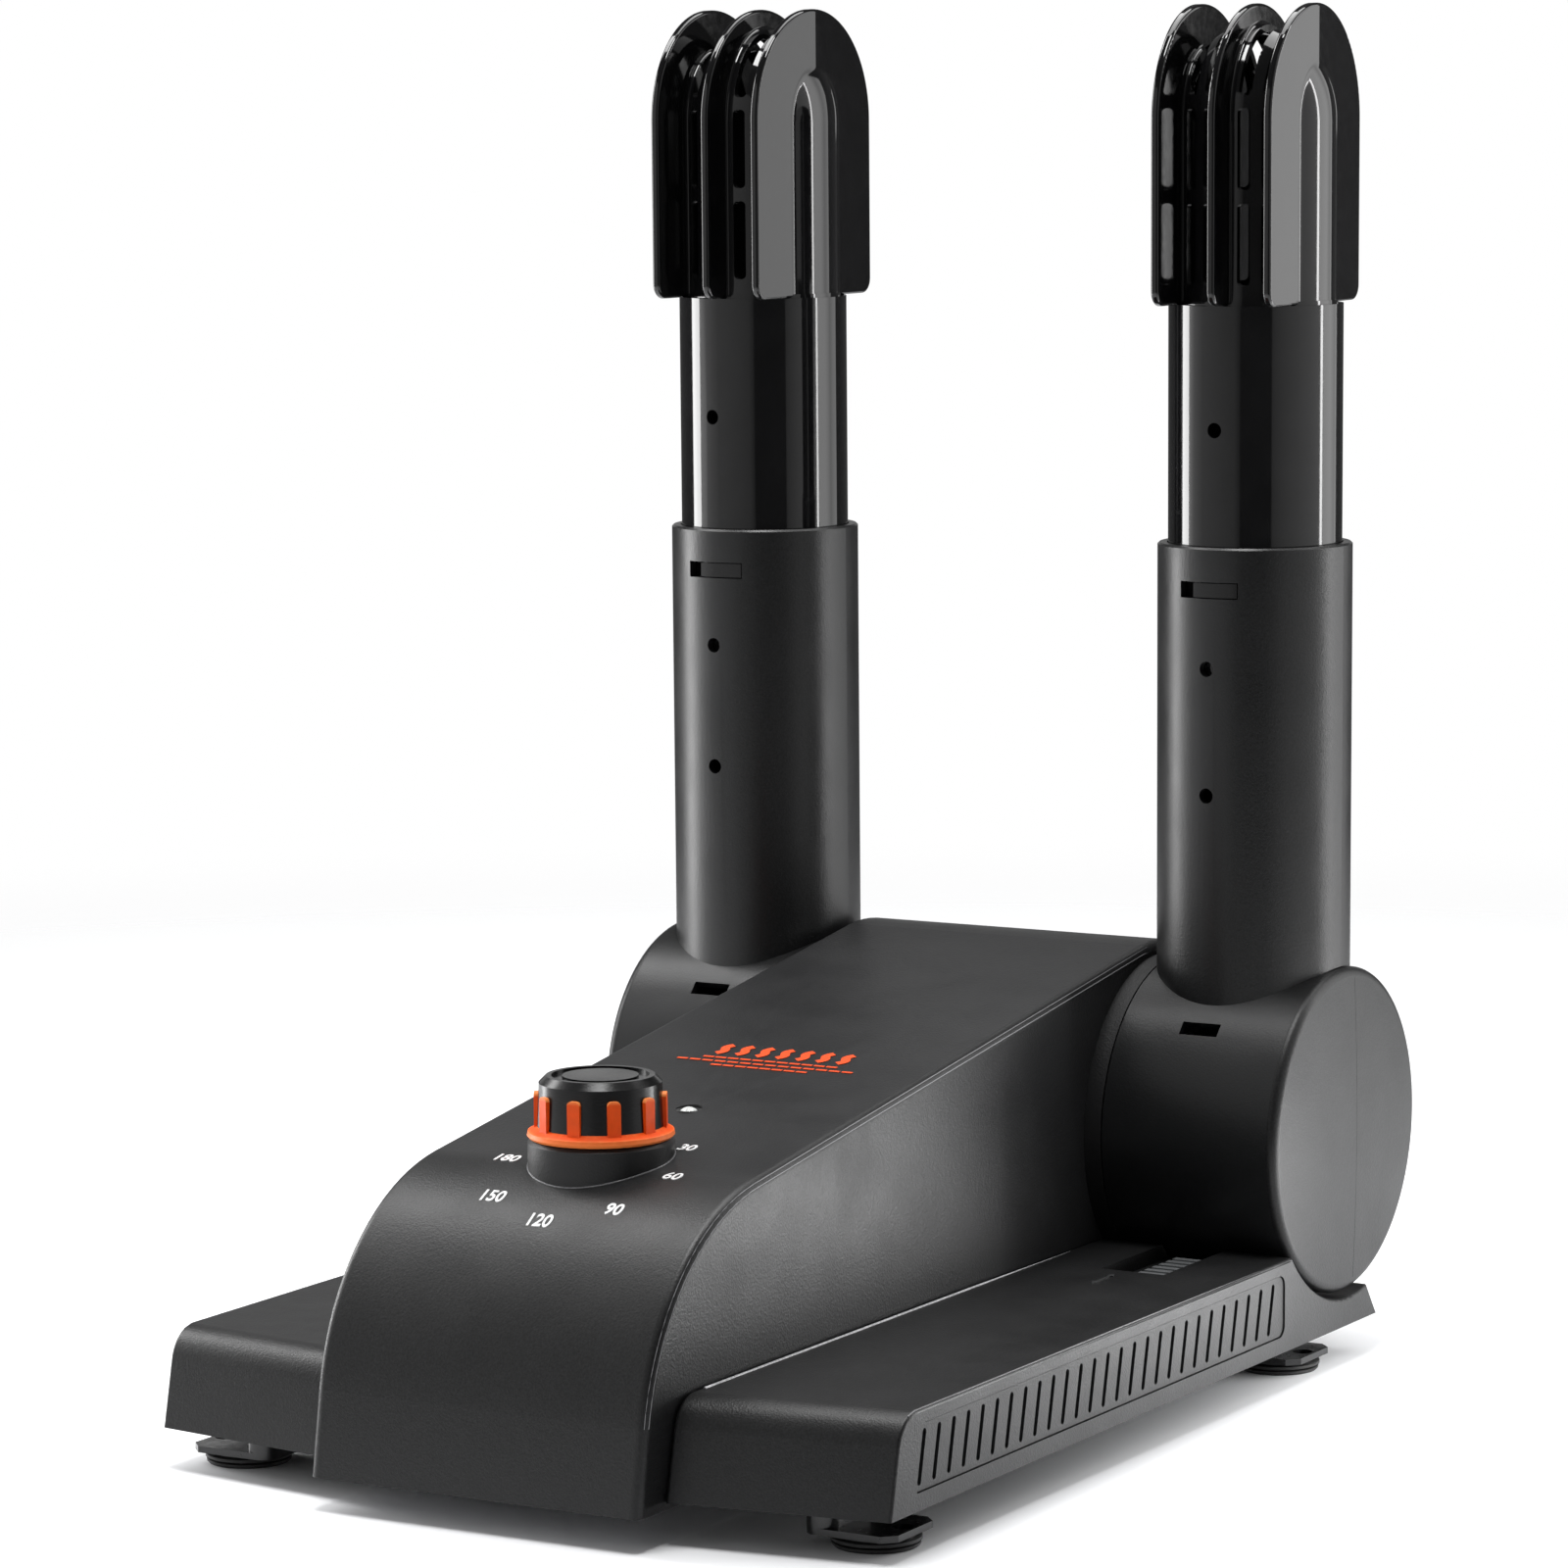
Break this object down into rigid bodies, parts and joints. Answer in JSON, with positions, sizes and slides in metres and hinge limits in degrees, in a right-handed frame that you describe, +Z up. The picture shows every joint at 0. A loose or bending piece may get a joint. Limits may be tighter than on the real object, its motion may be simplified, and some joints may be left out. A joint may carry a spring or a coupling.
{
  "type": "boot dryer",
  "caption": "Electric boot dryer: a wedge-shaped blower base with vented side wings, a timer knob, and folding, telescopic air tubes that end in finned nozzle heads.",
  "frame": {"origin": "on the floor, under the middle of the bounding box", "axes": "+Z up along the tubes, -Y towards the timer knob at the low front end, +X to the right seen from the front, across the tubes"},
  "size_m": [0.202, 0.3068, 0.3484],
  "materials": {
    "shell": "fine grain",
    "drum": "satin",
    "tube": "satin gloss",
    "gloss": "polished",
    "collar": "rough",
    "grille": "fine grain",
    "knob": "fine grain",
    "grip": "soft",
    "pad": "dull",
    "foot": "semi gloss",
    "lens": "clear white",
    "inner_plastic": "moulded",
    "hot_plastic": "heat-proof, moulded",
    "steel": "zinc plated",
    "heater": "ceramic and fins",
    "board": "solder mask"
  },
  "bodies": {
    "base": {"air_manifold": "hot_plastic", "base_pan": "inner_plastic", "base_screws": "steel", "blower_housing": "inner_plastic", "blower_motor": "steel", "control_board": "board", "cord_gland": "pad", "foot_bracket_front_left": "foot", "foot_bracket_front_right": "foot", "foot_bracket_rear_left": "foot", "foot_bracket_rear_right": "foot", "foot_pad_front_left": "pad", "foot_pad_front_right": "pad", "foot_pad_rear_left": "pad", "foot_pad_rear_right": "pad", "heater_core": "heater", "heater_duct": "hot_plastic", "hub_clip_left": "steel", "hub_clip_right": "steel", "hub_collar_left": "collar", "hub_collar_right": "collar", "led_bezel": "pad", "led_lens": "lens", "main_housing": "shell", "thermal_cutoff": "steel", "timer_body": "inner_plastic", "timer_collar": "shell", "vent_grille_left": "grille", "vent_grille_right": "grille", "wing_cover_left": "shell", "wing_cover_right": "shell", "wing_floor_left": "shell", "wing_floor_right": "shell", "wing_screws": "steel"},
    "left_tube": {"barrel_tube_left": "tube", "barrel_cap_left": "drum", "friction_ring_left": "inner_plastic"},
    "left_head": {"upper_tube_left": "gloss", "nozzle_head_left": "gloss"},
    "left_lock": {"fold_lock_left": "gloss"},
    "left_latch": {"tube_latch_left": "gloss"},
    "right_tube": {"barrel_tube_right": "tube", "barrel_cap_right": "drum", "friction_ring_right": "inner_plastic"},
    "right_head": {"upper_tube_right": "gloss", "nozzle_head_right": "gloss"},
    "right_lock": {"fold_lock_right": "gloss"},
    "right_latch": {"tube_latch_right": "gloss"},
    "timer_knob": {"knob_body": "knob", "knob_grip": "grip", "knob_disc": "knob", "timer_shaft": "steel"},
    "impeller": {"blower_impeller": "inner_plastic", "motor_shaft": "steel"}
  },
  "joints": [
    {"name": "left_tube_fold", "type": "hinge", "parent": "base", "child": "left_tube", "pos_m": [-0.073, 0.1076, 0.0611], "axis": [1, 0, 0], "range_deg": [0, 87]},
    {"name": "left_head_slide", "type": "slide", "parent": "left_tube", "child": "left_head", "axis": [0, 0, -1], "range_m": [0, 0.059]},
    {"name": "left_tube_latch_turn", "type": "hinge", "parent": "left_tube", "child": "left_latch", "pos_m": [-0.073, 0.1076, 0.2016], "axis": [0, 0, -1], "range_deg": [0, 8.9]},
    {"name": "left_fold_lock_slide", "type": "slide", "parent": "base", "child": "left_lock", "axis": [0, 1, 0], "range_m": [0, 0.008]},
    {"name": "right_tube_fold", "type": "hinge", "parent": "base", "child": "right_tube", "pos_m": [0.073, 0.1076, 0.0611], "axis": [1, 0, 0], "range_deg": [0, 87]},
    {"name": "right_head_slide", "type": "slide", "parent": "right_tube", "child": "right_head", "axis": [0, 0, -1], "range_m": [0, 0.059]},
    {"name": "right_tube_latch_turn", "type": "hinge", "parent": "right_tube", "child": "right_latch", "pos_m": [0.073, 0.1076, 0.2016], "axis": [0, 0, -1], "range_deg": [0, 8.9]},
    {"name": "right_fold_lock_slide", "type": "slide", "parent": "base", "child": "right_lock", "axis": [0, 1, 0], "range_m": [0, 0.008]},
    {"name": "timer_knob_turn", "type": "hinge", "parent": "base", "child": "timer_knob", "pos_m": [0, -0.0948, 0.09], "axis": [0, 0, -1], "range_deg": [0, 264]},
    {"name": "impeller_spin", "type": "hinge", "parent": "base", "child": "impeller", "pos_m": [0, -0.015, 0.05], "axis": [0, 0, 1], "continuous": true}
  ]
}
